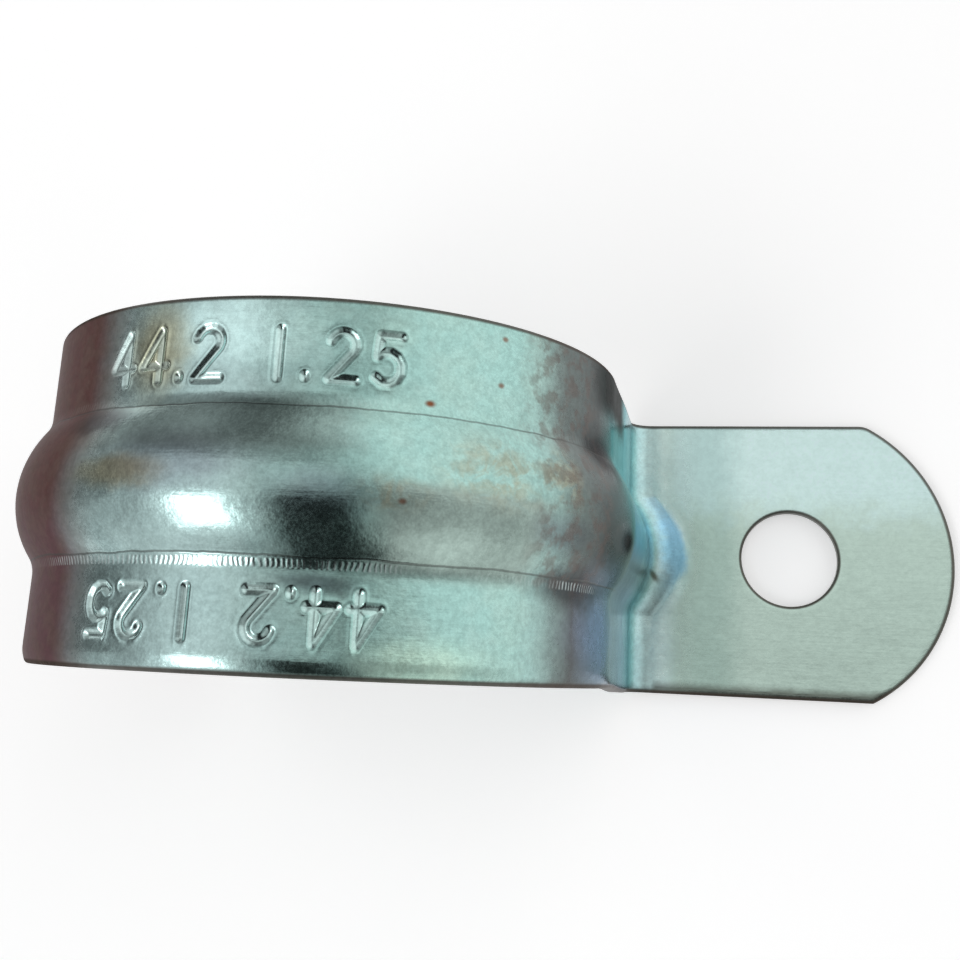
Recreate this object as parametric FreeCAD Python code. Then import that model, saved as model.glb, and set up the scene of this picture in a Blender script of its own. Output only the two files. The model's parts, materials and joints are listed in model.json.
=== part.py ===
"""One-hole conduit strap: one strip of sheet steel, pressed with a lengthwise bead and folded to a hook and a foot.

Frame, in mm: the origin is the centre of the screw hole in the plane of the wall, X runs out along the foot,
Y runs along the conduit and Z stands up from the wall.
"""
import FreeCAD, Part
import math
import os

# sheet and conduit
CONDUIT_OD = 44.2          # 1 1/2 trade size thin-wall tube
CONDUIT_CLEAR = 0.1        # radial gap between tube and hook
SHEET = 1.25               # sheet thickness

# hook
BAND_WIDTH = 25.0          # strip width over the tube
WRAP = 225.0               # degrees of hook, from the top of the leg round to the free end
BEAD_HEIGHT = 1.9          # rise of the bead over the flanges
BEAD_HALF_WIDTH = 6.0      # from the middle to where the bead meets a flange
BEAD_CROWN_HALF = 4.65     # from the middle to where crown and concave strip meet

# foot
REACH = 38.6               # tube axis to screw hole, along the foot
FOOT_WIDTH = 26.2          # strip width past the leg, where no bead draws the edges in
FLARE_TOP = 26.0           # height over the wall at which the leg starts to widen to the foot's width
FLARE_LOW = 4.0            # height at which it has that width
BEND_RADIUS = 2.0          # visible side of the fold between leg and foot
HOLE_DIAMETER = 9.0        # screw hole
END_RADIUS = 15.0          # end of the foot, about the screw hole
CORNER_PLUS_Y = 2.0        # corner radius at the end of the foot, +Y side
CORNER_MINUS_Y = 0.4       # corner radius at the end of the foot, -Y side
EDGE_BREAK = 0.2           # how far the blanked edges are broken on the visible side

INNER_RADIUS = CONDUIT_OD / 2 + CONDUIT_CLEAR
OUTER_RADIUS = INNER_RADIUS + SHEET
AXIS = FreeCAD.Vector(-REACH, 0, INNER_RADIUS)
SPARE = BAND_WIDTH         # how far the cutting bodies pass the sheet they shape
MARGIN = 1.0               # how far the inner body passes the outer one at their shared ends, in mm or degrees
TOUCH = 0.001              # how close counts as in the same place

# bead section: a crown arc that runs into a concave arc on each side
SUM_OF_RADII = (BEAD_HALF_WIDTH ** 2 / BEAD_HEIGHT + BEAD_HEIGHT) / 2
CROWN_RADIUS = SUM_OF_RADII * BEAD_CROWN_HALF / BEAD_HALF_WIDTH
STRIP_RADIUS = SUM_OF_RADII - CROWN_RADIUS
FLANK = math.asin(BEAD_HALF_WIDTH / SUM_OF_RADII)


def section(depth, start, half):
    """Face in the horizontal plane through the tube axis: the leg's section and all that lies inside it.

    depth is how far below the visible face the outline lies, start its inner end and half its half width.
    """
    def at(radius, y):
        return AXIS + FreeCAD.Vector(radius, y, 0)

    flange = OUTER_RADIUS - depth
    crown = CROWN_RADIUS - depth
    strip = STRIP_RADIUS + depth
    crown_middle = OUTER_RADIUS + BEAD_HEIGHT - CROWN_RADIUS
    strip_middle = OUTER_RADIUS + STRIP_RADIUS

    def on_crown(angle):
        return at(crown_middle + crown * math.cos(angle), crown * math.sin(angle))

    def on_strip(angle, side):
        return at(strip_middle - strip * math.cos(angle), side * (BEAD_HALF_WIDTH - strip * math.sin(angle)))

    edges = [
        Part.LineSegment(at(start, -half), at(flange, -half)),
        Part.LineSegment(at(flange, -half), on_strip(0, -1)),
        Part.Arc(on_strip(0, -1), on_strip(FLANK / 2, -1), on_strip(FLANK, -1)),
        Part.Arc(on_crown(-FLANK), on_crown(0), on_crown(FLANK)),
        Part.Arc(on_strip(FLANK, 1), on_strip(FLANK / 2, 1), on_strip(0, 1)),
        Part.LineSegment(on_strip(0, 1), at(flange, half)),
        Part.LineSegment(at(flange, half), at(start, half)),
        Part.LineSegment(at(start, half), at(start, -half)),
    ]
    return Part.Face(Part.Wire(Part.__sortEdges__([edge.toShape() for edge in edges])))


def body_under(depth, margin):
    """Everything on the tube's side of the sheet, down from the face that lies depth below the visible one."""
    half = SPARE + margin
    turn = FreeCAD.Vector(0, -1, 0)
    hook = section(depth, 0, half).revolve(AXIS, turn, WRAP + margin)
    floor = SHEET - depth
    low = -SPARE - margin
    block = section(depth, -margin, half)
    leg = block.extrude(FreeCAD.Vector(0, 0, low - AXIS.z))
    length = REACH + END_RADIUS + SPARE + margin
    corner = FreeCAD.Vector(AXIS.x - margin, -half, low)
    foot = Part.makeBox(length + margin, 2 * half, floor - low, corner)
    body = leg.fuse(foot).removeSplitter()
    fold = [edge for edge in body.Edges if on_fold(edge, floor)]
    body = body.makeFillet(BEND_RADIUS + depth, fold)
    return body.fuse(hook).removeSplitter()


def on_fold(edge, floor):
    """True for an edge where the leg stands on the foot."""
    box = edge.BoundBox
    level = abs(box.ZMin - floor) < TOUCH and abs(box.ZMax - floor) < TOUCH
    near = AXIS.x + INNER_RADIUS - SHEET
    far = AXIS.x + OUTER_RADIUS + BEAD_HEIGHT + SHEET
    return level and box.XMin > near and box.XMax < far


def blank():
    """Body that holds all that the strip's outline leaves: the plan of band and foot, cut to the leg's flare."""
    band = BAND_WIDTH / 2
    foot = FOOT_WIDTH / 2
    left = AXIS.x - OUTER_RADIUS - BEAD_HEIGHT - SPARE
    turn = math.sqrt(END_RADIUS ** 2 - foot ** 2)

    def at(x, y):
        return FreeCAD.Vector(x, y, -SPARE)

    edges = [
        Part.LineSegment(at(left, -band), at(AXIS.x, -band)),
        Part.LineSegment(at(AXIS.x, -band), at(AXIS.x, -foot)),
        Part.LineSegment(at(AXIS.x, -foot), at(turn, -foot)),
        Part.Arc(at(turn, -foot), at(END_RADIUS, 0), at(turn, foot)),
        Part.LineSegment(at(turn, foot), at(AXIS.x, foot)),
        Part.LineSegment(at(AXIS.x, foot), at(AXIS.x, band)),
        Part.LineSegment(at(AXIS.x, band), at(left, band)),
        Part.LineSegment(at(left, band), at(left, -band)),
    ]
    outline = Part.Face(Part.Wire([edge.toShape() for edge in edges]))
    height = AXIS.z + OUTER_RADIUS + BEAD_HEIGHT + 2 * SPARE
    prism = outline.extrude(FreeCAD.Vector(0, 0, height))
    for x, y, radius in ((turn, foot, CORNER_PLUS_Y), (turn, -foot, CORNER_MINUS_Y)):
        prism = prism.makeFillet(radius, upright(prism, x, y))
    return prism.common(flare(left, band, foot))


def flare(left, band, foot):
    """Body with the strip's outline as seen along the foot: band above, foot below and an S-curve between."""
    top = AXIS.z + OUTER_RADIUS + BEAD_HEIGHT + SPARE

    def at(y, z):
        return FreeCAD.Vector(left, y, z)

    def widening(side):
        middle = (FLARE_TOP + FLARE_LOW) / 2
        curve = Part.BezierCurve()
        curve.setPoles([at(side * band, FLARE_TOP), at(side * band, middle),
                        at(side * foot, middle), at(side * foot, FLARE_LOW)])
        return curve

    edges = [
        Part.LineSegment(at(-band, top), at(-band, FLARE_TOP)),
        widening(-1),
        Part.LineSegment(at(-foot, FLARE_LOW), at(-foot, -SPARE)),
        Part.LineSegment(at(-foot, -SPARE), at(foot, -SPARE)),
        Part.LineSegment(at(foot, -SPARE), at(foot, FLARE_LOW)),
        widening(1),
        Part.LineSegment(at(band, FLARE_TOP), at(band, top)),
        Part.LineSegment(at(band, top), at(-band, top)),
    ]
    outline = Part.Face(Part.Wire(Part.__sortEdges__([edge.toShape() for edge in edges])))
    return outline.extrude(FreeCAD.Vector(END_RADIUS + SPARE - left, 0, 0))


def upright(shape, x, y):
    """The upright edges of a shape that stand at x, y."""
    found = []
    for edge in shape.Edges:
        box = edge.BoundBox
        if abs(box.XMin - x) + abs(box.XMax - x) + abs(box.YMin - y) + abs(box.YMax - y) < TOUCH:
            found.append(edge)
    return found


def visible_rim(sheet, tube_side):
    """The sharp edges of the sheet that lie away from the body on its tube side."""
    rim = []
    for edge in sheet.Edges:
        faces = sheet.ancestorsOfType(edge, Part.Face)
        if len(faces) == 2 and is_sharp(edge, faces) and edge.distToShape(tube_side)[0] > SHEET / 2:
            rim.append(edge)
    return rim


def is_sharp(edge, faces):
    """True where two faces meet at an angle instead of running smoothly into each other."""
    point = edge.valueAt((edge.FirstParameter + edge.LastParameter) / 2)
    first, second = [face.normalAt(*face.Surface.parameter(point)) for face in faces]
    return first.getAngle(second) > FLANK / 2


def strap():
    tube_side = body_under(SHEET, MARGIN)
    sheet = body_under(0, 0).cut(tube_side).common(blank()).removeSplitter()
    sheet = sheet.makeChamfer(EDGE_BREAK, visible_rim(sheet, tube_side))
    hole = Part.makeCylinder(HOLE_DIAMETER / 2, 4 * SHEET, FreeCAD.Vector(0, 0, -SHEET))
    return sheet.cut(hole)


os.makedirs("parts", exist_ok=True)
shape = strap()
shape.exportStep("parts/strap.step")
box = shape.BoundBox
print("strap", len(shape.Solids), "solid", len(shape.Faces), "faces", round(shape.Volume, 1), "mm3", shape.isValid())
print("X", round(box.XMin, 3), round(box.XMax, 3), "Y", round(box.YMin, 3), round(box.YMax, 3),
      "Z", round(box.ZMin, 3), round(box.ZMax, 3))
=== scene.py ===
"""The conduit strap as it looks: one piece of stamped, zinc-plated sheet steel on a pale floor.

Lengths are in mm until a mesh, lamp or camera is made. A place on the strip is given by how far along it
lies, in mm from the level of the tube's axis (hook above 0, leg, fold and foot below), and how far across,
in mm from the middle.
"""
import json
import math

import bpy
import numpy as np
from mathutils import Matrix, Vector, noise

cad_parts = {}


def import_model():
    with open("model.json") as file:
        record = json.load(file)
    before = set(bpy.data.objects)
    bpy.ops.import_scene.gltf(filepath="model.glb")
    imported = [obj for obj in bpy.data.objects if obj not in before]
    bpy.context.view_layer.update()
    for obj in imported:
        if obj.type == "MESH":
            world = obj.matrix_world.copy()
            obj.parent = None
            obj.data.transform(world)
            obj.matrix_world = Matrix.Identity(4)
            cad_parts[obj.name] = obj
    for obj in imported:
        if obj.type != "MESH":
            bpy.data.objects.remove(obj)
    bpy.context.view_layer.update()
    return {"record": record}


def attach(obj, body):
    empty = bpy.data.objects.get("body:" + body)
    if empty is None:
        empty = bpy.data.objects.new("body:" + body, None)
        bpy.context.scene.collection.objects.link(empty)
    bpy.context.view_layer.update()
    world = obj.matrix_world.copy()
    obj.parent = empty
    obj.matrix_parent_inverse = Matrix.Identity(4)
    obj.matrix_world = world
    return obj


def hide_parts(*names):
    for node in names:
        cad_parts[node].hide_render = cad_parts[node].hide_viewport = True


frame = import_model()

MM = 0.001
mounts = {mount["name"]: mount for mount in frame["record"]["mounts"]}

# sizes that the CAD model states
HOLE_RADIUS = mounts["screw_hole"]["dims"]["r_mm"]
SHEET = mounts["screw_hole"]["dims"]["length_mm"]
INNER_RADIUS = mounts["conduit"]["dims"]["r_mm"]
BAND_HALF = mounts["conduit"]["dims"]["length_mm"] / 2
AXIS_X = mounts["conduit"]["pos_m"][0] / MM
AXIS_Z = mounts["conduit"]["pos_m"][2] / MM
OUTER_RADIUS = INNER_RADIUS + SHEET

# sizes of its hook, bead, fold and foot
WRAP = 225.0
BEAD_HEIGHT = 1.9
BEAD_HALF_WIDTH = 6.0
BEAD_CROWN_HALF = 4.65
FOOT_HALF = 13.1
FLARE_TOP = 26.0
FLARE_LOW = 4.0
BEND_RADIUS = 2.0
END_RADIUS = 15.0
CORNER_PLUS_Y = 2.0
CORNER_MINUS_Y = 0.4

SUM_OF_RADII = (BEAD_HALF_WIDTH ** 2 / BEAD_HEIGHT + BEAD_HEIGHT) / 2
CROWN_RADIUS = SUM_OF_RADII * BEAD_CROWN_HALF / BEAD_HALF_WIDTH
STRIP_RADIUS = SUM_OF_RADII - CROWN_RADIUS
LEG_X = AXIS_X + OUTER_RADIUS
FOOT_X = LEG_X + BEND_RADIUS
LEG_FOOT = SHEET + BEND_RADIUS
FOLD_ALONG = LEG_FOOT - AXIS_Z
FOOT_ALONG = FOLD_ALONG - BEND_RADIUS * math.pi / 2

# how much larger the fold's radius is where the bead runs into it, and over what half width
BEAD_TOE = 0.9
TOE_HALF_WIDTH = 4.2

# how the sheared edges are worn: (how far in, how deep) on the visible side,
# and how far on the hidden side and at the hook's free end
EDGE_ROLL = (0.4, 0.2)
HOLE_ROLL = (0.3, 0.15)
EDGE_HIDDEN = 0.08
EDGE_END = 0.12

# how the hook's edge on the -Y side is rolled over: (how far in, how deep)
ROLL_OVER = (1.3, 0.35)

# stamped numbers: the stroke's groove, and the lip that it pushes up
STROKE_HALF = 0.36
STROKE_DEPTH = 0.2
STROKE_LIP = 0.03
LIP_PLACE = 1.25 * STROKE_HALF
LIP_START = 0.8 * STROKE_HALF
LIP_WIDTH = 0.12
VALLEY = 0.15

# how uneven the pressed sheet is, how long its waves are along and across,
# and over how many degrees of hook they and the rolled edge fade out towards the leg
UNEVEN = 0.02
WAVES = (7, 5)
FADE_TURNS = 20

# where the mesh is finest, for the numbers: degrees of hook, and mm across
STAMPED_TURNS = (118, 60)
STAMPED_ACROSS = (6.3, 10.6)


def spread(start, stop, step):
    """Evenly spaced values from start up to, but without, stop."""
    count = max(1, round(abs(stop - start) / step))
    return list(np.linspace(start, stop, count + 1)[:-1])


# ---------------------------------------------------------------- stamped numbers

def arc(x, y, radius_x, radius_y, start, stop, count=9):
    """Points on part of an ellipse, angles in degrees."""
    angles = np.radians(np.linspace(start, stop, count))
    return [(x + radius_x * math.cos(a), y + radius_y * math.sin(a)) for a in angles]


# strokes of each sign in a cell 1 high: (width, [lines])
SIGNS = {
    "1": (0.16, [[(0.08, 0.0), (0.08, 1.0)]]),
    "2": (0.52, [arc(0.26, 0.74, 0.26, 0.26, 165, -30) + [(0.0, 0.0), (0.54, 0.0)]]),
    "4": (0.56, [[(0.42, 0.0), (0.42, 1.0), (0.0, 0.3), (0.58, 0.3)]]),
    "5": (0.52, [[(0.5, 1.0), (0.06, 1.0), (0.02, 0.56)] + arc(0.22, 0.33, 0.3, 0.33, 110, -140)]),
    ".": (0.1, [[(0.05, 0.02), (0.05, 0.06)]]),
}


def stamp(text, middle, foot, height, gap, turned):
    """Line segments of a number in (along, across); turned is True where it stands upside down."""
    width = sum(SIGNS[sign][0] for sign in text) + gap * (len(text) - 1)
    segments = []
    cursor = -width / 2
    for sign in text:
        for line in SIGNS[sign][1]:
            for first, second in zip(line[:-1], line[1:]):
                ends = []
                for x, y in (first, second):
                    if turned:
                        ends.append((middle + (cursor + x) * height, foot - y * height))
                    else:
                        ends.append((middle - (cursor + x) * height, foot + y * height))
                segments.append(ends)
        cursor += SIGNS[sign][0] + gap
    return segments


def at_turn(degrees):
    """How far along the strip a place on the hook lies, from its angle about the tube."""
    return math.radians(degrees) * OUTER_RADIUS


# (number, degrees round the hook, foot of the signs in mm across, height, gap as a share of it, upside down)
NUMBERS = (
    ("44.2", 103.5, 6.7, 3.5, 0.3, False),
    ("1.25", 72.5, 6.8, 3.3, 0.42, False),
    ("44.2", 73.5, -7.1, 3.2, 0.3, True),
    ("1.25", 103.5, -7.1, 3.2, 0.42, True),
)
STAMPS = []
for number, degrees, foot_line, sign_height, sign_gap, upside_down in NUMBERS:
    STAMPS += stamp(number, at_turn(degrees), foot_line, sign_height, sign_gap, upside_down)


def press(along, across):
    """How deep the stamped strokes are at each place and how high the lip beside them, as shares of 1."""
    nearest = np.full(along.shape, BAND_HALF)
    for (a1, c1), (a2, c2) in STAMPS:
        da, dc = a2 - a1, c2 - c1
        share = ((along - a1) * da + (across - c1) * dc) / (da * da + dc * dc + 1e-9)
        share = np.clip(share, 0, 1)
        gap = np.hypot(along - a1 - share * da, across - c1 - share * dc)
        nearest = np.minimum(nearest, gap)
    groove = np.clip((1 - np.hypot(nearest / STROKE_HALF, VALLEY)) / (1 - VALLEY), 0, 1)
    lip = np.exp(-((nearest - LIP_PLACE) / LIP_WIDTH) ** 2)
    return groove, lip * (nearest > LIP_START)


# ---------------------------------------------------------------- the strip

def bead(across):
    """Rise over the flanges and sideways tilt of the visible face at each place across."""
    size = np.abs(across)
    crown = np.arcsin(np.clip(across / CROWN_RADIUS, -1, 1))
    strip = np.arcsin(np.clip((BEAD_HALF_WIDTH - size) / STRIP_RADIUS, 0, 1))
    on_crown = size <= BEAD_CROWN_HALF
    rise = np.where(on_crown, BEAD_HEIGHT - CROWN_RADIUS * (1 - np.cos(crown)),
                    STRIP_RADIUS * (1 - np.cos(strip)))
    tilt = np.where(on_crown, crown, np.sign(across) * strip)
    return rise, tilt


def widened(height, across):
    """Places across, drawn out to the strip's width at each height.

    The width grows on an S-curve down the leg, whose share is found with Newton's method.
    """
    middle = (FLARE_TOP + FLARE_LOW) / 2
    wanted = np.clip((height - middle) / (FLARE_TOP - middle), -1, 1)
    share = np.full(across.shape, 0.5)
    for _ in range(20):
        share = share + ((1 - share) ** 3 - share ** 3 - wanted) / (3 * (1 - share) ** 2 + 3 * share ** 2)
    half = BAND_HALF + (FOOT_HALF - BAND_HALF) * (3 * share ** 2 - 2 * share ** 3)
    size = np.abs(across)
    drawn = (half - BEAD_HALF_WIDTH) / (BAND_HALF - BEAD_HALF_WIDTH)
    wide = BEAD_HALF_WIDTH + (size - BEAD_HALF_WIDTH) * drawn
    return np.where(size > BEAD_HALF_WIDTH, np.sign(across) * wide, across)


def bend_radius(across):
    """Inside radius of the fold at each place across."""
    return BEND_RADIUS + BEAD_TOE * np.exp(-(across / TOE_HALF_WIDTH) ** 2)


def on_hook(turn, across, depth):
    rise, tilt = bead(across)
    radius = OUTER_RADIUS + rise - depth * np.cos(tilt)
    angle = math.radians(turn)
    z = AXIS_Z + radius * math.sin(angle)
    y = widened(z, across) if turn < 90 else across
    return np.stack([AXIS_X + radius * math.cos(angle), y - depth * np.sin(tilt), z], 1)


def on_leg(height, across, depth):
    rise, tilt = bead(across)
    length = AXIS_Z - SHEET - bend_radius(across)
    z = AXIS_Z - (AXIS_Z - height) * length / (AXIS_Z - LEG_FOOT)
    return np.stack([LEG_X + rise - depth * np.cos(tilt), widened(z, across) - depth * np.sin(tilt), z], 1)


def on_fold(turn, across, depth):
    rise, tilt = bead(across)
    radius = bend_radius(across)
    angle = math.radians(turn)
    reach = radius - (radius + depth) * math.cos(angle)
    z = SHEET + radius - (radius + depth) * math.sin(angle)
    x = LEG_X + rise + reach * np.cos(tilt)
    y = widened(z, across) + reach * np.sin(tilt) * BEND_RADIUS / radius
    return np.stack([x, y, z], 1)


def edge_profile(roll):
    """(how far in, how deep) down a sheared edge, from the visible face to the hidden one."""
    angles = np.radians([0, 25, 50, 70, 90])
    points = [(roll[0] * (1 - math.sin(a)), roll[1] * (1 - math.cos(a))) for a in angles]
    points += [(0.0, depth) for depth in np.linspace(roll[1], SHEET - EDGE_HIDDEN, 5)[1:]]
    points += [(EDGE_HIDDEN * 0.3, SHEET - EDGE_HIDDEN * 0.3), (EDGE_HIDDEN, SHEET)]
    return points


class Skin:
    """The mesh as it grows: places, what the finish reads at each, and faces."""

    def __init__(self):
        self.places = []
        self.facts = []
        self.faces = []

    def add(self, places, along, across, cut, groove):
        """Adds vertices and returns their numbers."""
        first = len(self.places)
        self.places.extend(map(tuple, places))
        self.facts.extend(zip(along, across, cut, groove))
        return list(range(first, len(self.places)))

    def bands(self, rows, closed=False, turned=False):
        """Quads between each row of vertices and the next."""
        for row, following in zip(rows[:-1], rows[1:]):
            count = len(row)
            for k in range(count if closed else count - 1):
                after = (k + 1) % count
                quad = (row[k], following[k], following[after], row[after])
                self.faces.append(quad[::-1] if turned else quad)

    def zip_rings(self, outer, inner):
        """Triangles between two closed rings about the hole that differ in how many vertices they have."""
        def angles(ring):
            found = np.array([math.atan2(self.places[v][1], self.places[v][0]) for v in ring])
            return np.unwrap(found)
        a, b = angles(outer), angles(inner)
        sense = 1 if a[-1] > a[0] else -1
        a, b = list(a * sense), list(b * sense)
        while b[0] < a[0] - math.pi:
            b = [value + 2 * math.pi for value in b]
        while b[0] > a[0] + math.pi:
            b = [value - 2 * math.pi for value in b]
        start = min(range(len(b)), key=lambda k: abs(b[k] - a[0]))
        inner = inner[start:] + inner[:start]
        b = b[start:] + [value + 2 * math.pi for value in b[:start]]
        a.append(a[0] + 2 * math.pi)
        b.append(b[0] + 2 * math.pi)
        outer, inner = outer + outer[:1], inner + inner[:1]
        i = j = 0
        while i < len(outer) - 1 or j < len(inner) - 1:
            step_outer = j == len(inner) - 1 or (i < len(outer) - 1 and a[i + 1] <= b[j + 1])
            if step_outer:
                self.faces.append((outer[i + 1], outer[i], inner[j]))
                i += 1
            else:
                self.faces.append((outer[i], inner[j], inner[j + 1]))
                j += 1


def strip_loop():
    """The section's outline: across, depth and cut of each place.

    The last three values are how many places lie on the visible face, on an edge and on the hidden face.
    """
    low, high = STAMPED_ACROSS
    half = (spread(0, BEAD_CROWN_HALF, 0.4) + spread(BEAD_CROWN_HALF, BEAD_HALF_WIDTH, 0.17)
            + spread(BEAD_HALF_WIDTH, low, 0.15) + spread(low, high, 0.12)
            + spread(high, BAND_HALF - EDGE_ROLL[0], 0.25) + [BAND_HALF - EDGE_ROLL[0]])
    visible = [-value for value in half[:0:-1]] + half
    hidden_half = (spread(0, BEAD_HALF_WIDTH, 0.6) + spread(BEAD_HALF_WIDTH, BAND_HALF - EDGE_HIDDEN, 1.2)
                   + [BAND_HALF - EDGE_HIDDEN])
    hidden = hidden_half[::-1] + [-value for value in hidden_half[1:]]
    side = edge_profile(EDGE_ROLL)[1:-1]
    across = (visible + [BAND_HALF - inset for inset, _ in side] + hidden
              + [inset - BAND_HALF for inset, _ in side[::-1]])
    depth = ([0.0] * len(visible) + [deep for _, deep in side] + [SHEET] * len(hidden)
             + [deep for _, deep in side[::-1]])
    cut = [0.0] * len(visible) + [1.0] * len(side) + [0.0] * len(hidden) + [1.0] * len(side)
    return np.array(across), np.array(depth), cut, len(visible), len(side), len(hidden)


def foot_outline():
    """(x, y, outward x, outward y) round the foot, from the fold's +Y end to its -Y end."""
    def corner(radius):
        return math.sqrt((END_RADIUS - radius) ** 2 - (FOOT_HALF - radius) ** 2), FOOT_HALF - radius

    def turn(x, y, radius, start, stop, step):
        found = []
        for a in spread(start, stop, step):
            a = math.radians(a)
            found.append((x + radius * math.cos(a), y + radius * math.sin(a), math.cos(a), math.sin(a)))
        return found

    plus, minus = corner(CORNER_PLUS_Y), corner(CORNER_MINUS_Y)
    from_plus = math.degrees(math.atan2(plus[1], plus[0]))
    from_minus = math.degrees(math.atan2(minus[1], minus[0]))
    outline = [(x, FOOT_HALF, 0.0, 1.0) for x in spread(FOOT_X, plus[0], 0.8)]
    outline += turn(plus[0], plus[1], CORNER_PLUS_Y, 90, from_plus, 4)
    outline += turn(0, 0, END_RADIUS, from_plus, -from_minus, 2)
    outline += turn(minus[0], -minus[1], CORNER_MINUS_Y, -from_minus, -90, 6)
    outline += [(x, -FOOT_HALF, 0.0, -1.0) for x in spread(minus[0], FOOT_X, 0.8)]
    return outline[1:]


def uneven(along, across):
    """Slight unevenness of the pressed sheet, in mm and never outwards."""
    return UNEVEN * (1 + noise.noise(Vector((along / WAVES[0], across / WAVES[1], 0.5))))


def stations():
    """(part of the strip, place on it) of each loop round the section, from the free end to the foot."""
    first, last = STAMPED_TURNS
    turns = spread(WRAP, first, 2) + spread(first, last, 0.25) + spread(last, 0, 1.25)
    found = [("hook", turn) for turn in turns]
    found += [("leg", height) for height in spread(AXIS_Z, LEG_FOOT, 0.8)]
    found += [("fold", turn) for turn in spread(0, 90, 5)] + [("fold", 90)]
    return found


def add_loops(skin):
    """Hook, leg and fold: closed loops round the section."""
    across, depth, cut, visible, _, _ = strip_loop()
    count = len(across)
    shown = np.arange(count) < visible
    rows = []
    for kind, value in stations():
        if kind == "hook":
            along = at_turn(value)
        elif kind == "leg":
            along = value - AXIS_Z
        else:
            along = FOLD_ALONG - math.radians(value) * BEND_RADIUS
        alongs = np.full(count, along)
        groove, lip = press(alongs, across)
        groove, lip = groove * shown, lip * shown
        fade = min(1, max(0, (value if kind == "hook" else 0) / FADE_TURNS))
        wave = np.array([uneven(along, v) for v in across]) * shown * fade
        bent = np.clip((-across - BAND_HALF + ROLL_OVER[0]) / ROLL_OVER[0], 0, 1) ** 2 * (1 - depth / SHEET)
        deep = depth + groove * STROKE_DEPTH - lip * STROKE_LIP + wave + bent * ROLL_OVER[1] * fade
        place = {"hook": on_hook, "leg": on_leg, "fold": on_fold}[kind](value, across, deep)
        rows.append(skin.add(place, alongs, across, cut, groove))
    skin.bands(rows, closed=True)
    return rows


def add_free_end(skin, first_row):
    """The hook's free end, its edges slightly broken."""
    across, depth, _, _, _, _ = strip_loop()
    count = len(across)
    narrow = np.clip(across, EDGE_END - BAND_HALF, BAND_HALF - EDGE_END)
    deep = np.clip(depth, EDGE_END, SHEET - EDGE_END)
    turn = WRAP + math.degrees(EDGE_END / OUTER_RADIUS)
    alongs = np.full(count, at_turn(turn))
    end = skin.add(on_hook(turn, narrow, deep), alongs, across, [1.0] * count, [0.0] * count)
    skin.bands([end, first_row], closed=True)
    skin.faces.append(tuple(end))


def add_rim(skin, last_row, visible, side, hidden):
    """The foot's sheared rim, as rows down the edge from the fold round the foot and back to the fold."""
    hidden_end = visible + side + hidden - 1
    plus_side = last_row[visible - 1:visible + side + 1]
    minus_side = [last_row[0]] + last_row[:hidden_end:-1] + [last_row[hidden_end]]
    profile = edge_profile(EDGE_ROLL)
    flags = [0.0] + [1.0] * side + [0.0]
    rim = [plus_side]
    for x, y, out_x, out_y in foot_outline():
        places = [(x - inset * out_x, y - inset * out_y, SHEET - deep) for inset, deep in profile]
        alongs = [FOOT_ALONG - (x - FOOT_X)] * len(places)
        rim.append(skin.add(places, alongs, [y] * len(places), flags, [0.0] * len(places)))
    rim.append(minus_side)
    skin.bands(rim)
    return rim


# how far each ring of the foot's flat faces lies from the outline, as a share of the way to the hole
RING_SHARES = (0.03, 0.07, 0.13, 0.2, 0.28, 0.36, 0.44, 0.52, 0.6, 0.68, 0.76, 0.84, 0.91, 0.96, 1.0)
EVEN_COUNT = 15


def add_rings(skin, outline, fold_places, height, hole, rippled):
    """A flat face of the foot, in rings from its outline to the hole.

    The first fold_places of the outline lie at the fold's end.
    """
    found = [outline]
    corners = np.array([skin.places[v][:2] for v in outline])
    angles = np.unwrap(np.arctan2(corners[:, 1], corners[:, 0]))
    lengths = np.hypot(corners[:, 0], corners[:, 1])
    turn = math.copysign(2 * math.pi, angles[-1] - angles[0])
    laps = np.concatenate([angles - turn, angles, angles + turn])
    order = np.argsort(laps)
    # directions from the hole, crowded behind the bead, spread out by a moving average
    even = np.convolve(laps, np.full(EVEN_COUNT, 1 / EVEN_COUNT), "same")[len(angles):-len(angles)]
    # how far the outline lies past the fold's end, which the finish's "along" takes up over the rings
    starts = np.where(np.arange(len(outline)) < fold_places, corners[:, 0] - FOOT_X, 0)
    for share in RING_SHARES:
        eased = min(1, 4 * share)
        towards = angles * (1 - eased) + even * eased
        out = np.interp(towards, laps[order], np.tile(lengths, 3)[order])
        reach = (1 - share) * out + share * hole
        spots = np.stack([reach * np.cos(towards), reach * np.sin(towards)], 1)
        wave = [0.0] * len(spots)
        if rippled:
            swell = min(1, 6 * share) * min(1, 6 * (1 - share))
            wave = [swell * uneven(x, y) for x, y in spots]
        places = [(x, y, height - w) for (x, y), w in zip(spots, wave)]
        late = np.interp(towards, laps[order], np.tile(starts, 3)[order]) * (1 - share) ** 2
        alongs = FOOT_ALONG - (spots[:, 0] - FOOT_X - late)
        found.append(skin.add(places, alongs, spots[:, 1], [0.0] * len(spots), [0.0] * len(spots)))
    return found


def add_hole_wall(skin, top_ring, low_ring):
    """The wall of the screw hole between the foot's visible and hidden faces."""
    around = np.array([skin.places[v][:2] for v in top_ring]) / (HOLE_RADIUS + HOLE_ROLL[0])
    wall = [top_ring]
    for inset, deep in edge_profile(HOLE_ROLL)[1:-1]:
        radius = HOLE_RADIUS + inset
        places = [(x * radius, y * radius, SHEET - deep) for x, y in around]
        alongs = [FOOT_ALONG - (x * radius - FOOT_X) for x, _ in around]
        wall.append(skin.add(places, alongs, around[:, 1] * radius, [1.0] * len(places), [0.0] * len(places)))
    skin.bands(wall, closed=True)
    skin.zip_rings(wall[-1], low_ring)


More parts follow.
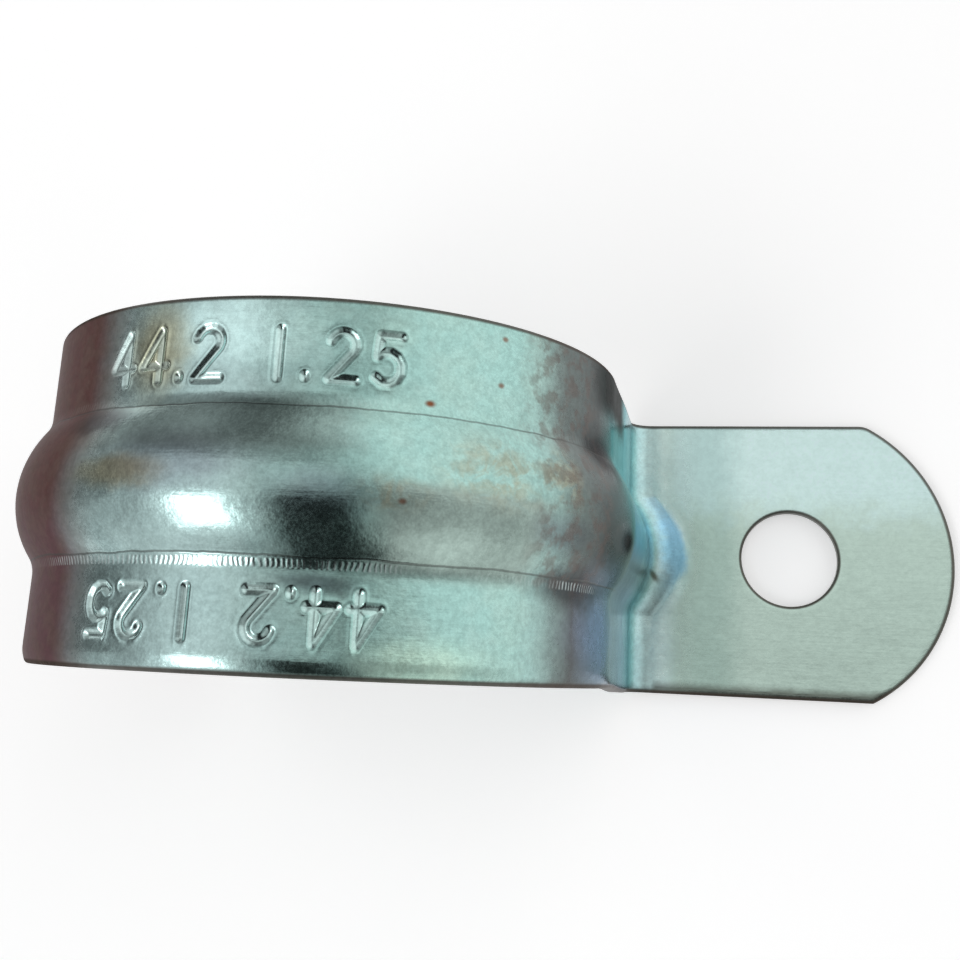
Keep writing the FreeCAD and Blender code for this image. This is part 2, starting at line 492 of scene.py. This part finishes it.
def build_strap():
    skin = Skin()
    _, _, _, visible, side, hidden = strip_loop()
    rows = add_loops(skin)
    add_free_end(skin, rows[0])
    last = rows[-1]
    rim = add_rim(skin, last, visible, side, hidden)

    top_outline = last[:visible] + [row[0] for row in rim[1:-1]]
    low_outline = last[visible + side:visible + side + hidden][::-1] + [row[-1] for row in rim[1:-1]]
    top = add_rings(skin, top_outline, visible, SHEET, HOLE_RADIUS + HOLE_ROLL[0], True)
    low = add_rings(skin, low_outline, hidden, 0.0, HOLE_RADIUS + EDGE_HIDDEN, False)
    skin.bands(top, closed=True)
    skin.bands(low, closed=True, turned=True)
    add_hole_wall(skin, top[-1], low[-1])

    mesh = bpy.data.meshes.new("strap_skin")
    mesh.from_pydata([(x * MM, y * MM, z * MM) for x, y, z in skin.places], [], skin.faces)
    facts = np.array(skin.facts, dtype=np.float32)
    for column, name in enumerate(("along", "across", "cut", "groove")):
        layer = mesh.attributes.new(name, "FLOAT", "POINT")
        layer.data.foreach_set("value", np.ascontiguousarray(facts[:, column]))
    mesh.validate()
    mesh.shade_smooth()
    made = bpy.data.objects.new("strap_skin", mesh)
    bpy.context.scene.collection.objects.link(made)
    return made


strap = build_strap()
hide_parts("strap")
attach(strap, "root")


# ---------------------------------------------------------------- finish

class Shader:
    """Small helper to write a node tree as sums."""

    def __init__(self, tree):
        self.tree = tree

    def node(self, kind, **settings):
        made = self.tree.nodes.new(kind)
        for name, value in settings.items():
            setattr(made, name, value)
        return made

    def put(self, socket, value):
        if isinstance(value, bpy.types.NodeSocket):
            self.tree.links.new(value, socket)
        elif isinstance(value, tuple) and len(value) == 3 and socket.type == "RGBA":
            socket.default_value = value + (1,)
        else:
            socket.default_value = value

    def math(self, operation, *values, clamp=False):
        made = self.node("ShaderNodeMath", operation=operation, use_clamp=clamp)
        for socket, value in zip(made.inputs, values):
            self.put(socket, value)
        return made.outputs[0]

    def add(self, a, b):
        return self.math("ADD", a, b)

    def minus(self, a, b):
        return self.math("SUBTRACT", a, b)

    def times(self, a, b):
        return self.math("MULTIPLY", a, b)

    def most(self, a, b):
        return self.math("MAXIMUM", a, b)

    def rise(self, value, start, stop, low=0.0, high=1.0):
        """Smooth change from low at start to high at stop."""
        made = self.node("ShaderNodeMapRange", interpolation_type="SMOOTHSTEP")
        for name, given in (("Value", value), ("From Min", start), ("From Max", stop), ("To Min", low),
                            ("To Max", high)):
            self.put(made.inputs[name], given)
        return made.outputs["Result"]

    def scale(self, value, start, stop):
        """Even change from 0 at start to 1 at stop."""
        made = self.node("ShaderNodeMapRange")
        for name, given in (("Value", value), ("From Min", start), ("From Max", stop)):
            self.put(made.inputs[name], given)
        return made.outputs["Result"]

    def between(self, value, start, stop, soft):
        """1 from start to stop, falling to 0 over soft on both sides."""
        return self.times(self.rise(value, start - soft, start), self.rise(value, stop + soft, stop))

    def mix(self, share, first, second, blend="MIX"):
        made = self.node("ShaderNodeMix", data_type="RGBA", blend_type=blend)
        self.put(made.inputs[0], share)
        self.put(made.inputs[6], first)
        self.put(made.inputs[7], second)
        return made.outputs[2]

    def vector(self, x, y, z=0.0):
        made = self.node("ShaderNodeCombineXYZ")
        for socket, value in zip(made.inputs, (x, y, z)):
            self.put(socket, value)
        return made.outputs[0]

    def noise(self, where, scale, detail=3.0, roughness=0.55, distortion=0.0):
        made = self.node("ShaderNodeTexNoise")
        self.put(made.inputs["Vector"], where)
        self.put(made.inputs["Scale"], scale)
        self.put(made.inputs["Detail"], detail)
        self.put(made.inputs["Roughness"], roughness)
        self.put(made.inputs["Distortion"], distortion)
        return made.outputs["Fac"]

    def ramp(self, value, stops):
        made = self.node("ShaderNodeValToRGB")
        elements = made.color_ramp.elements
        while len(elements) < len(stops):
            elements.new(0.5)
        for element, (place, colour) in zip(elements, stops):
            element.position = place
            element.color = colour + (1,)
        self.put(made.inputs[0], value)
        return made.outputs["Color"]

    def attribute(self, name):
        return self.node("ShaderNodeAttribute", attribute_name=name).outputs["Fac"]

    def blob(self, along, across, middle, reach):
        """1 in the middle of a soft oval patch on the strip, 0 past its reach (along, across)."""
        da = self.times(self.minus(along, middle[0]), 1 / reach[0])
        dc = self.times(self.minus(across, middle[1]), 1 / reach[1])
        gap = self.math("SQRT", self.add(self.times(da, da), self.times(dc, dc)))
        return self.rise(gap, 1.0, 0.2)


# where the film down the leg and over the fold begins and ends, in mm along
FILM = (-24.0, 16.0)

# the film's colours down the strip, from the fold at 0 to the hook at 1: (place, colour); partly a real
# coloured film and partly painted reflection: the pale start at the fold, the teal down the leg and the
# near-black band near the head of the leg stand for what the metal reflects
UPPER_FILM = (
    (0.0, (0.8, 1.0, 0.94)), (0.15, (0.2, 0.45, 0.5)), (0.5, (0.1, 0.3, 0.28)),
    (0.75, (0.07, 0.085, 0.085)), (0.9, (0.18, 0.22, 0.21)), (1.0, (0.42, 0.6, 0.56)),
)
MIDDLE_FILM = (
    (0.0, (0.66, 0.9, 0.84)), (0.15, (0.11, 0.24, 0.25)), (0.6, (0.05, 0.12, 0.13)),
    (0.8, (0.07, 0.08, 0.08)), (1.0, (0.28, 0.38, 0.35)),
)
LOWER_FILM = (
    (0.0, (0.8, 1.0, 0.94)), (0.15, (0.13, 0.36, 0.42)), (0.35, (0.19, 0.33, 0.52)),
    (0.68, (0.2, 0.32, 0.42)), (0.84, (0.1, 0.11, 0.11)), (1.0, (0.42, 0.6, 0.57)),
)

# painted reflections, highlights and shade, and a blue tint of the film on the fold: (middle along and across
# in mm, reach in mm, colour times)
PALE = (1.5, 1.5, 1.5)
DIM_REFLECTION = (0.7, 0.65, 0.7)
DARK = (0.35, 0.33, 0.35)
PAINTED_LIGHT_AND_TINT = (
    ((36.0, 10.0), (8.0, 3.5), PALE),               # painted reflection: light haze behind the upper numbers
    ((45.0, 0.0), (3.5, 40.0), PALE),               # painted highlight: light stripe where the hook turns over
    ((34.0, 3.5), (9.0, 2.0), PALE),                # painted reflection: lighter upper side of the bead
    ((23.0, -3.0), (6.0, 3.0), PALE),               # painted reflection: lighter lower side of the bead
    ((23.0, -11.5), (6.5, 2.5), (1.4, 1.3, 1.2)),   # painted glint along the lower edge
    ((5.0, -8.5), (8.0, 4.0), (1.3, 1.3, 1.6)),     # painted reflection: violet-tinted light at the leg's head
    ((-16.0, -1.0), (6.0, 4.0), (2.2, 1.6, 1.6)),   # painted reflection: lighter above the bead's toe
    ((40.0, 1.0), (7.0, 3.0), DIM_REFLECTION),                # painted dark reflection on the crown of the bead beside the light stripe
    ((30.0, -1.0), (4.0, 2.5), DIM_REFLECTION),               # painted dark reflection: dim patch on the crown
    ((13.0, -2.0), (4.5, 2.0), DIM_REFLECTION),               # painted dark reflection: dim patch near the head of the leg
    ((46.5, 4.0), (4.5, 1.5), DARK),                # painted shade in the upper crease, far end
    ((30.0, -6.5), (4.0, 1.0), DARK),               # painted shade in the lower crease
    ((10.0, -5.5), (7.0, 2.0), DARK),               # painted shade in the lower crease, down to the leg
    ((6.0, 5.5), (5.0, 3.0), DARK),                 # painted shade in the upper crease, down to the leg
    ((-22.0, 1.0), (2.0, 5.5), (0.65, 0.9, 1.2)),   # blue film on the fold at the toe
    ((-27.5, 0.0), (4.5, 40.0), (0.75, 0.8, 0.8)),  # painted shade: dimmer stretch of the foot beside the fold
)

# rust: (along, across) of a large speck and of small ones, and stains rubbed in: (middle, reach)
RUST_SPECK = (23.3, 5.8)
SMALL_SPECKS = ((17.7, 11.3), (17.9, 7.9), (25.2, -1.2))
RUBBED_STAINS = (((19.0, 1.4), (5.5, 3.4)), ((13.5, 2.0), (3.5, 3.0)), ((25.8, -0.8), (3.2, 1.6)))

# dark spot on the bead where the hook runs into the leg, and olive patches: (middle, reach)
DARK_SPOT = (1.8, -1.5)
OLIVE_PATCHES = (((42.8, 9.0), (3.6, 5.0)), ((43.5, 0.3), (5.0, 1.6)))

# the dark line along each side of the bead's crown and the pressed crease outside it, in mm across,
# and how fast the crease's ticks follow one another, in radians for each mm along
LINE_ACROSS = 4.95
CREASE_ACROSS = (5.2, 5.6)
TICK_TURN = 17.0


class Surface(Shader):
    """What the strap's finish reads at each place: where it is, and noises that break up its edges."""

    def __init__(self, tree):
        super().__init__(tree)
        self.along, self.across = self.attribute("along"), self.attribute("across")
        self.cut, self.groove = self.attribute("cut"), self.attribute("groove")
        self.flat = self.vector(self.along, self.across)
        solid = self.node("ShaderNodeTexCoord").outputs["Object"]
        self.cloud = self.noise(self.flat, 0.16, 4.0, 0.6)
        self.blotch = self.noise(self.flat, 0.5, 4.0, 0.62)
        self.grain = self.noise(solid, 5200.0, 2.0, 0.5)
        self.speck = self.noise(solid, 1900.0, 2.0, 0.5)
        drawn = self.vector(self.times(self.along, 0.25), self.times(self.across, 3.0), 4.0)
        self.streak = self.noise(drawn, 1.0, 4.0, 0.6)
        self.wobble = self.times(self.minus(self.blotch, 0.5), 6.0)
        self.shifted = self.add(self.along, self.times(self.wobble, 0.35))
        self.drifted = self.add(self.across, self.times(self.wobble, 0.2))

    def patches(self, places):
        """1 in the middle of any of the soft ovals, whose places are (middle, reach)."""
        found = self.blob(self.along, self.across, *places[0])
        for middle, reach in places[1:]:
            found = self.most(found, self.blob(self.along, self.across, middle, reach))
        return found


def plated(s):
    """Blue-green plate on the hook, lighter on the foot, and lighter still on the foot's +Y side as a painted
    reflection.
    """
    plate = s.mix(s.times(s.rise(s.cloud, 0.4, 0.65), 0.4), (0.37, 0.61, 0.565), (0.44, 0.62, 0.545))
    plate = s.mix(s.times(s.rise(s.blotch, 0.45, 0.7), 0.25), plate, (0.46, 0.66, 0.61))
    plate = s.mix(s.times(s.rise(s.shifted, 27.0, 38.0), 0.75), plate, (0.42, 0.55, 0.555))
    # painted shade: darker grey on the lower side of the bead, from 16 to 25 mm along
    lower_bead_shade = s.times(s.rise(s.across, 0.5, -0.5), s.rise(s.across, -6.5, -5.0))
    plate = s.mix(s.times(lower_bead_shade, s.between(s.along, 16.0, 25.0, 3.0)), plate, (0.32, 0.42, 0.38))
    # painted reflection: the foot lighter towards its +Y side
    foot = s.mix(s.rise(s.add(s.across, s.wobble), 2.0, 7.0), (0.62, 0.8, 0.71), (0.76, 1.0, 0.97))
    return s.mix(s.rise(s.along, -22.5, -25.0), plate, foot)


def filmed(s, plate, rim):
    """A coloured film from the head of the leg down over the fold, partly painted reflection, with painted
    shade nearly black at the rim, and dark in one spot.
    """
    upper, middle, lower = (s.ramp(s.scale(s.shifted, *FILM), stops)
                            for stops in (UPPER_FILM, MIDDLE_FILM, LOWER_FILM))
    film = s.mix(s.rise(s.drifted, 2.6, 0.4), upper, middle)
    film = s.mix(s.rise(s.drifted, -2.2, -4.8), film, lower)
    # painted shade: nearly black at the rim, the +Y edge near the head of the leg
    film = s.mix(rim, film, (0.03, 0.036, 0.034))
    film = s.mix(s.blob(s.along, s.across, DARK_SPOT, (3.4, 1.3)), film, (0.02, 0.04, 0.04))
    return s.mix(s.times(s.rise(s.along, -25.0, -23.0), s.rise(s.shifted, 17.0, 11.0)), plate, film)


def tarnished(s, plate, far):
    """Dark brown and mauve on the far side of the hook, partly tarnish and partly painted dark reflection,
    with olive patches before it.
    """
    tarnish = s.mix(s.rise(s.across, 0.0, -4.0), (0.125, 0.04, 0.036), (0.13, 0.045, 0.055))
    tarnish = s.mix(s.times(s.rise(s.blotch, 0.4, 0.62), 0.5), tarnish, (0.16, 0.1, 0.08))
    # painted shade: darker along the upper flank of the bead, from 30 to 48 mm along
    band = s.times(s.between(s.across, 2.4, 4.6, 1.2), s.between(s.along, 30.0, 48.0, 4.0))
    plate = s.mix(s.times(band, 0.55), plate, (0.2, 0.25, 0.23))
    # tarnish and painted dark reflection over the far end of the hook
    plate = s.mix(s.times(far, 0.95), plate, tarnish)
    first, second = (s.blob(s.shifted, s.drifted, middle, reach) for middle, reach in OLIVE_PATCHES)
    return s.mix(s.times(s.most(first, second), 0.7), plate, (0.42, 0.38, 0.22))


def painted_light_and_tint(s, plate):
    """Painted reflections, highlights and shade, and the fold's blue film, as soft patches that multiply the
    colour.
    """
    for middle, reach, tone in PAINTED_LIGHT_AND_TINT:
        plate = s.mix(s.blob(s.shifted, s.drifted, middle, reach), plate, tone, "MULTIPLY")
    return plate


def stained(s, plate):
    """Rust specks, a scuff on the fold, and stains rubbed into the plate."""
    specks = s.blob(s.along, s.across, RUST_SPECK, (0.55, 0.35))
    for middle in SMALL_SPECKS:
        specks = s.most(specks, s.times(s.blob(s.along, s.across, middle, (0.4, 0.3)), 0.8))
    scuff = s.blob(s.add(s.along, s.times(s.across, -0.9)), s.across, (-18.6, -1.9), (0.7, 0.7))
    dirt = s.rise(s.noise(s.flat, 0.7, 5.0, 0.6, 0.8), 0.38, 0.64)
    plate = s.mix(s.times(s.times(s.patches(RUBBED_STAINS), dirt), 0.6), plate, (0.36, 0.33, 0.22))
    band = s.times(s.between(s.shifted, 8.5, 14.0, 3.0), s.rise(s.drifted, -7.0, -4.5))
    brown = s.times(band, s.rise(s.noise(s.flat, 0.7, 4.0, 0.6), 0.45, 0.62))
    plate = s.mix(s.times(brown, 0.5), plate, (0.13, 0.085, 0.07))
    plate = s.mix(specks, plate, (0.2, 0.08, 0.04))
    return s.mix(s.times(scuff, 0.85), plate, (0.07, 0.07, 0.045))


def press_marks(s):
    """The dark line where the bead's crown starts, the crease beside it, and the ticks along the crease."""
    size = s.math("ABSOLUTE", s.across)
    line = s.math("ABSOLUTE", s.add(s.minus(size, LINE_ACROSS), s.times(s.minus(s.cloud, 0.5), 0.6)))
    line = s.times(s.rise(line, 0.1, 0.03), s.rise(s.along, -4.0, 2.0))
    crease = s.times(s.between(size, *CREASE_ACROSS, 0.15), s.rise(s.along, 3.0, 8.0))
    crease = s.times(crease, s.rise(s.across, 4.0, -4.0, 0.1, 1.0))
    pressed = s.most(s.between(s.along, 27.0, 50.0, 4.0), s.times(s.between(s.along, 7.0, 11.0, 2.5), 0.8))
    crease = s.times(crease, s.times(s.most(pressed, 0.12), s.rise(s.blotch, 0.3, 0.6, 0.5, 1.0)))
    drift = s.times(s.minus(s.cloud, 0.5), 2.0)
    ticks = s.math("SINE", s.times(s.add(s.along, drift), TICK_TURN))
    return line, crease, ticks


def zinc():
    """Worn zinc plate on steel: colour, with reflections and shade painted into it, shine and relief."""
    material = bpy.data.materials.new("zinc_steel_worn")
    material.use_nodes = True
    s = Surface(material.node_tree)
    shader = material.node_tree.nodes["Principled BSDF"]

    # far end of the hook: tarnish and painted dark reflection, also made duller
    far = s.rise(s.add(s.shifted, s.times(s.rise(s.across, 2.0, -4.0), -1.0)), 43.5, 50.0)
    # rim: the +Y edge near the head of the leg, painted as shade and also made duller
    rim = s.times(s.rise(s.shifted, -11.0, -5.0), s.rise(s.shifted, 9.0, 3.0))
    rim = s.times(s.rise(s.drifted, 7.6, 10.0), rim)
    line, crease, ticks = press_marks(s)

    # colour
    plate = stained(s, painted_light_and_tint(s, tarnished(s, filmed(s, plated(s), rim), far)))
    plate = s.mix(s.times(line, 0.6), plate, (0.08, 0.085, 0.08))
    # painted glints: pale ticks along the crease, mostly on the -Y side
    plate = s.mix(s.times(s.times(crease, s.rise(ticks, 0.1, 0.8)), 0.6), plate, (0.8, 0.92, 0.92))
    # painted shade along the edge on the -Y side
    edge_shade = s.rise(s.add(s.across, s.times(s.wobble, 0.12)), -11.7, -12.7)
    edge_shade = s.times(edge_shade, s.rise(s.shifted, 19.0, 13.0))
    plate = s.mix(s.times(edge_shade, 0.75), plate, (0.1, 0.1, 0.08))
    # sheared steel, and a painted glint in the numbers' grooves
    plate = s.mix(s.times(s.cut, 0.9), plate, (0.08, 0.06, 0.048))
    plate = s.mix(s.times(s.rise(s.groove, 0.05, 0.4), 0.4), plate, (0.62, 0.78, 0.75))
    grainy = s.add(s.rise(s.grain, 0.3, 0.7, 0.91, 1.05), s.rise(s.speck, 0.3, 0.7, -0.08, 0.08))
    fine = s.mix(s.times(s.rise(s.along, -20.0, -24.0), 0.6), grainy, (1.0, 1.0, 1.0))
    s.put(shader.inputs["Base Color"], s.mix(1.0, plate, fine, "MULTIPLY"))

    # shine: duller in the tarnish, at the rim, on cut edges and in two spots, and tinted on the leg
    worn = s.most(far, rim)
    dull = s.most(s.times(worn, 0.6), s.times(s.between(s.shifted, 5.0, 11.0, 4.0), 0.3))
    s.put(shader.inputs["Metallic"], s.minus(1.0, s.most(dull, s.times(s.cut, 0.3))))
    s.put(shader.inputs["Specular IOR Level"], s.minus(0.3, s.times(worn, 0.22)))
    leg = s.times(s.rise(s.along, -18.0, -9.0), s.rise(s.shifted, 6.0, 0.0))
    leg = s.times(leg, s.rise(s.drifted, -2.5, 0.0))
    edge = s.mix(leg, (1.0, 1.0, 1.0), (0.45, 0.85, 0.9))
    dark = s.most(worn, s.blob(s.along, s.across, (3.4, -1.4), (3.0, 1.5)))
    dark = s.most(dark, s.times(s.blob(s.shifted, s.drifted, (6.0, 4.8), (5.0, 2.0)), 0.8))
    s.put(shader.inputs["Specular Tint"], s.mix(s.times(dark, 0.9), edge, (0.16, 0.13, 0.13)))
    rough = s.add(s.rise(s.blotch, 0.3, 0.7, 0.14, 0.2), s.rise(s.grain, 0.3, 0.7, -0.02, 0.04))
    rough = s.add(rough, s.times(s.between(s.along, -24.0, -19.0, 3.5), 0.14))
    rough = s.add(s.add(rough, s.times(s.cut, 0.25)), s.times(dull, 0.4))
    s.put(shader.inputs["Roughness"], rough)

    # relief in mm: fine grain, rolling streaks, slight dents, and the press's ticks and line
    relief = s.add(s.times(s.grain, 0.0016), s.add(s.times(s.streak, 0.008), s.times(s.blotch, 0.032)))
    relief = s.add(s.add(relief, s.times(s.speck, 0.003)), s.times(s.times(ticks, crease), 0.006))
    relief = s.minus(relief, s.times(line, 0.01))
    bump = s.node("ShaderNodeBump")
    s.put(bump.inputs["Strength"], 1.0)
    s.put(bump.inputs["Distance"], MM)
    s.put(bump.inputs["Height"], relief)
    s.put(shader.inputs["Normal"], bump.outputs["Normal"])
    return material


strap.data.materials.append(zinc())


# ---------------------------------------------------------------- stage

FLOOR_HALF = 1.5
FLOOR_LIFT = 0.42

# softbox: direction from the hook, distance and size in m, power in W, and where its long side points
SOFTBOX = ((-0.46, -0.38, 0.8), 0.6, (0.28, 0.19), 0.42, (0.0, 1.0, 0.0))

# camera: lens and its shift, place in mm, and turns about Z, Y and X in degrees
LENS = 41.87
LENS_SHIFT = (-0.0104, -0.0833)
CAMERA_PLACE = (-7.09, -10.97, 112.76)
CAMERA_TURNS = (2.59, 11.05, 13.74)


def floor_piece():
    """A broad sheet of pale paper, slightly mottled, that the camera and the metal see near white."""
    size = FLOOR_HALF
    mesh = bpy.data.meshes.new("floor")
    corners = [(-size, -size, 0), (size, -size, 0), (size, size, 0), (-size, size, 0)]
    mesh.from_pydata(corners, [], [(0, 1, 2, 3)])
    floor = bpy.data.objects.new("floor", mesh)
    bpy.context.scene.collection.objects.link(floor)
    material = bpy.data.materials.new("pale_paper")
    material.use_nodes = True
    s = Shader(material.node_tree)
    shader = material.node_tree.nodes["Principled BSDF"]
    where = s.node("ShaderNodeTexCoord").outputs["Object"]
    s.put(shader.inputs["Base Color"], s.mix(s.noise(where, 60.0), (0.88, 0.88, 0.88), (0.9, 0.9, 0.9)))
    s.put(shader.inputs["Roughness"], 0.9)
    s.put(shader.inputs["Specular IOR Level"], 0.1)
    path = s.node("ShaderNodeLightPath").outputs
    seen = s.most(s.most(path["Is Camera Ray"], path["Is Glossy Ray"]), path["Is Transmission Ray"])
    s.put(shader.inputs["Emission Color"], (1.0, 1.0, 1.0))
    s.put(shader.inputs["Emission Strength"], s.times(seen, FLOOR_LIFT))
    mesh.materials.append(material)


def lamp(name, towards, distance, size, power, long_axis):
    """A soft rectangular lamp in direction towards from the hook, with its long side along long_axis."""
    data = bpy.data.lights.new(name, "AREA")
    data.shape = "RECTANGLE"
    data.size, data.size_y = size
    data.energy = power
    made = bpy.data.objects.new(name, data)
    back = Vector(towards).normalized()
    side = Vector(long_axis)
    side = (side - back * side.dot(back)).normalized()
    up = back.cross(side)
    middle = Vector((AXIS_X * MM, 0, AXIS_Z * MM))
    turn = Matrix((side, up, back)).transposed().to_4x4()
    made.matrix_world = Matrix.Translation(middle + back * distance) @ turn
    bpy.context.scene.collection.objects.link(made)


def world():
    """Soft light from all round, a little brighter on the foot's side and dim low down on the other."""
    made = bpy.data.worlds.new("studio")
    bpy.context.scene.world = made
    made.use_nodes = True
    s = Shader(made.node_tree)
    background = made.node_tree.nodes["Background"]
    split = s.node("ShaderNodeSeparateXYZ")
    s.put(split.inputs[0], s.node("ShaderNodeTexCoord").outputs["Generated"])
    x, y, z = split.outputs
    side = s.add(s.times(s.most(y, 0.0), 0.6), s.times(s.most(s.minus(-0.4, y), 0.0), 1.2))
    side = s.minus(side, s.rise(y, 0.1, -0.15, 0.0, 0.3))
    level = s.rise(s.add(x, side), 0.35, 0.95, 0.38, 1.05)

    # dim parts of the room, named by the side that they are on
    minus_y = s.times(s.between(x, 0.03, 0.3, 0.2), s.rise(y, 0.2, -0.25))
    minus_x = s.times(s.rise(x, -0.8, -0.97), s.rise(y, -0.25, -0.05))
    plus_y = s.times(s.between(x, -0.3, -0.2, 0.25), s.rise(y, 0.55, 0.75))
    for part, dimmed in ((minus_y, 0.95), (minus_x, 0.75), (plus_y, 0.6)):
        level = s.times(level, s.minus(1.0, s.times(part, dimmed)))

    # bright parts: one on the hook's side, one overhead
    glow = s.times(s.between(x, -0.6, -0.35, 0.3), s.between(y, -0.7, 0.3, 0.2))
    over = s.times(s.between(x, -0.02, 0.25, 0.2), s.between(y, -0.05, 0.25, 0.2))
    over = s.times(over, s.rise(z, 0.7, 0.9))
    for part, added in ((glow, 0.6), (over, 0.39)):
        level = s.add(level, s.times(part, added))
    s.put(background.inputs["Color"], s.vector(level, level, level))
    s.put(background.inputs["Strength"], 1.0)


def camera():
    data = bpy.data.cameras.new("camera")
    data.sensor_width = 36
    data.lens = LENS
    data.shift_x, data.shift_y = LENS_SHIFT
    data.clip_start = 0.005
    made = bpy.data.objects.new("camera", data)
    about_z, about_y, about_x = (math.radians(turn) for turn in CAMERA_TURNS)
    turn = (Matrix.Rotation(about_z, 3, "Z") @ Matrix.Rotation(about_y, 3, "Y")
            @ Matrix.Rotation(about_x, 3, "X"))
    made.matrix_world = Matrix.Translation(Vector(CAMERA_PLACE) * MM) @ turn.to_4x4()
    bpy.context.scene.collection.objects.link(made)
    bpy.context.scene.camera = made


floor_piece()
lamp("softbox", *SOFTBOX)
world()
camera()
bpy.context.scene.view_settings.view_transform = "Standard"
